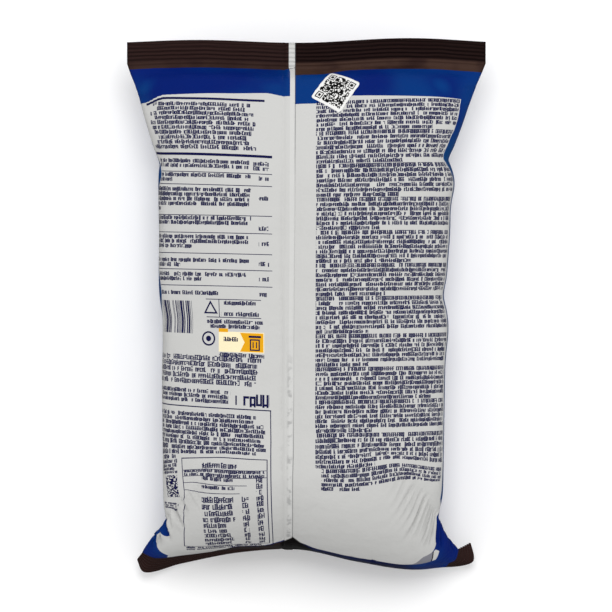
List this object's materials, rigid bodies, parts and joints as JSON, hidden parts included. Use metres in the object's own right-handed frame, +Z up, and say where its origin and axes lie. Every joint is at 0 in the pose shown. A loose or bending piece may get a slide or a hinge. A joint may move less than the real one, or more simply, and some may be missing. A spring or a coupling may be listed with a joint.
{
  "type": "bag of crisps",
  "caption": "Sealed pillow bag of crisps lying on its front, back up: ribbed end seals, a long lapped seam and a small square label.",
  "frame": {"origin": "on the surface it lies on, under the middle of the bag", "axes": "+Y towards the top seal, +Z up, out of the bag's back, +X to the right as the back is looked at"},
  "size_m": [0.19, 0.285, 0.0724],
  "materials": {
    "film": "printed, half gloss",
    "label": "printed, half matt"
  },
  "bodies": {
    "root": {"bag": "film", "label": "label"}
  },
  "joints": []
}
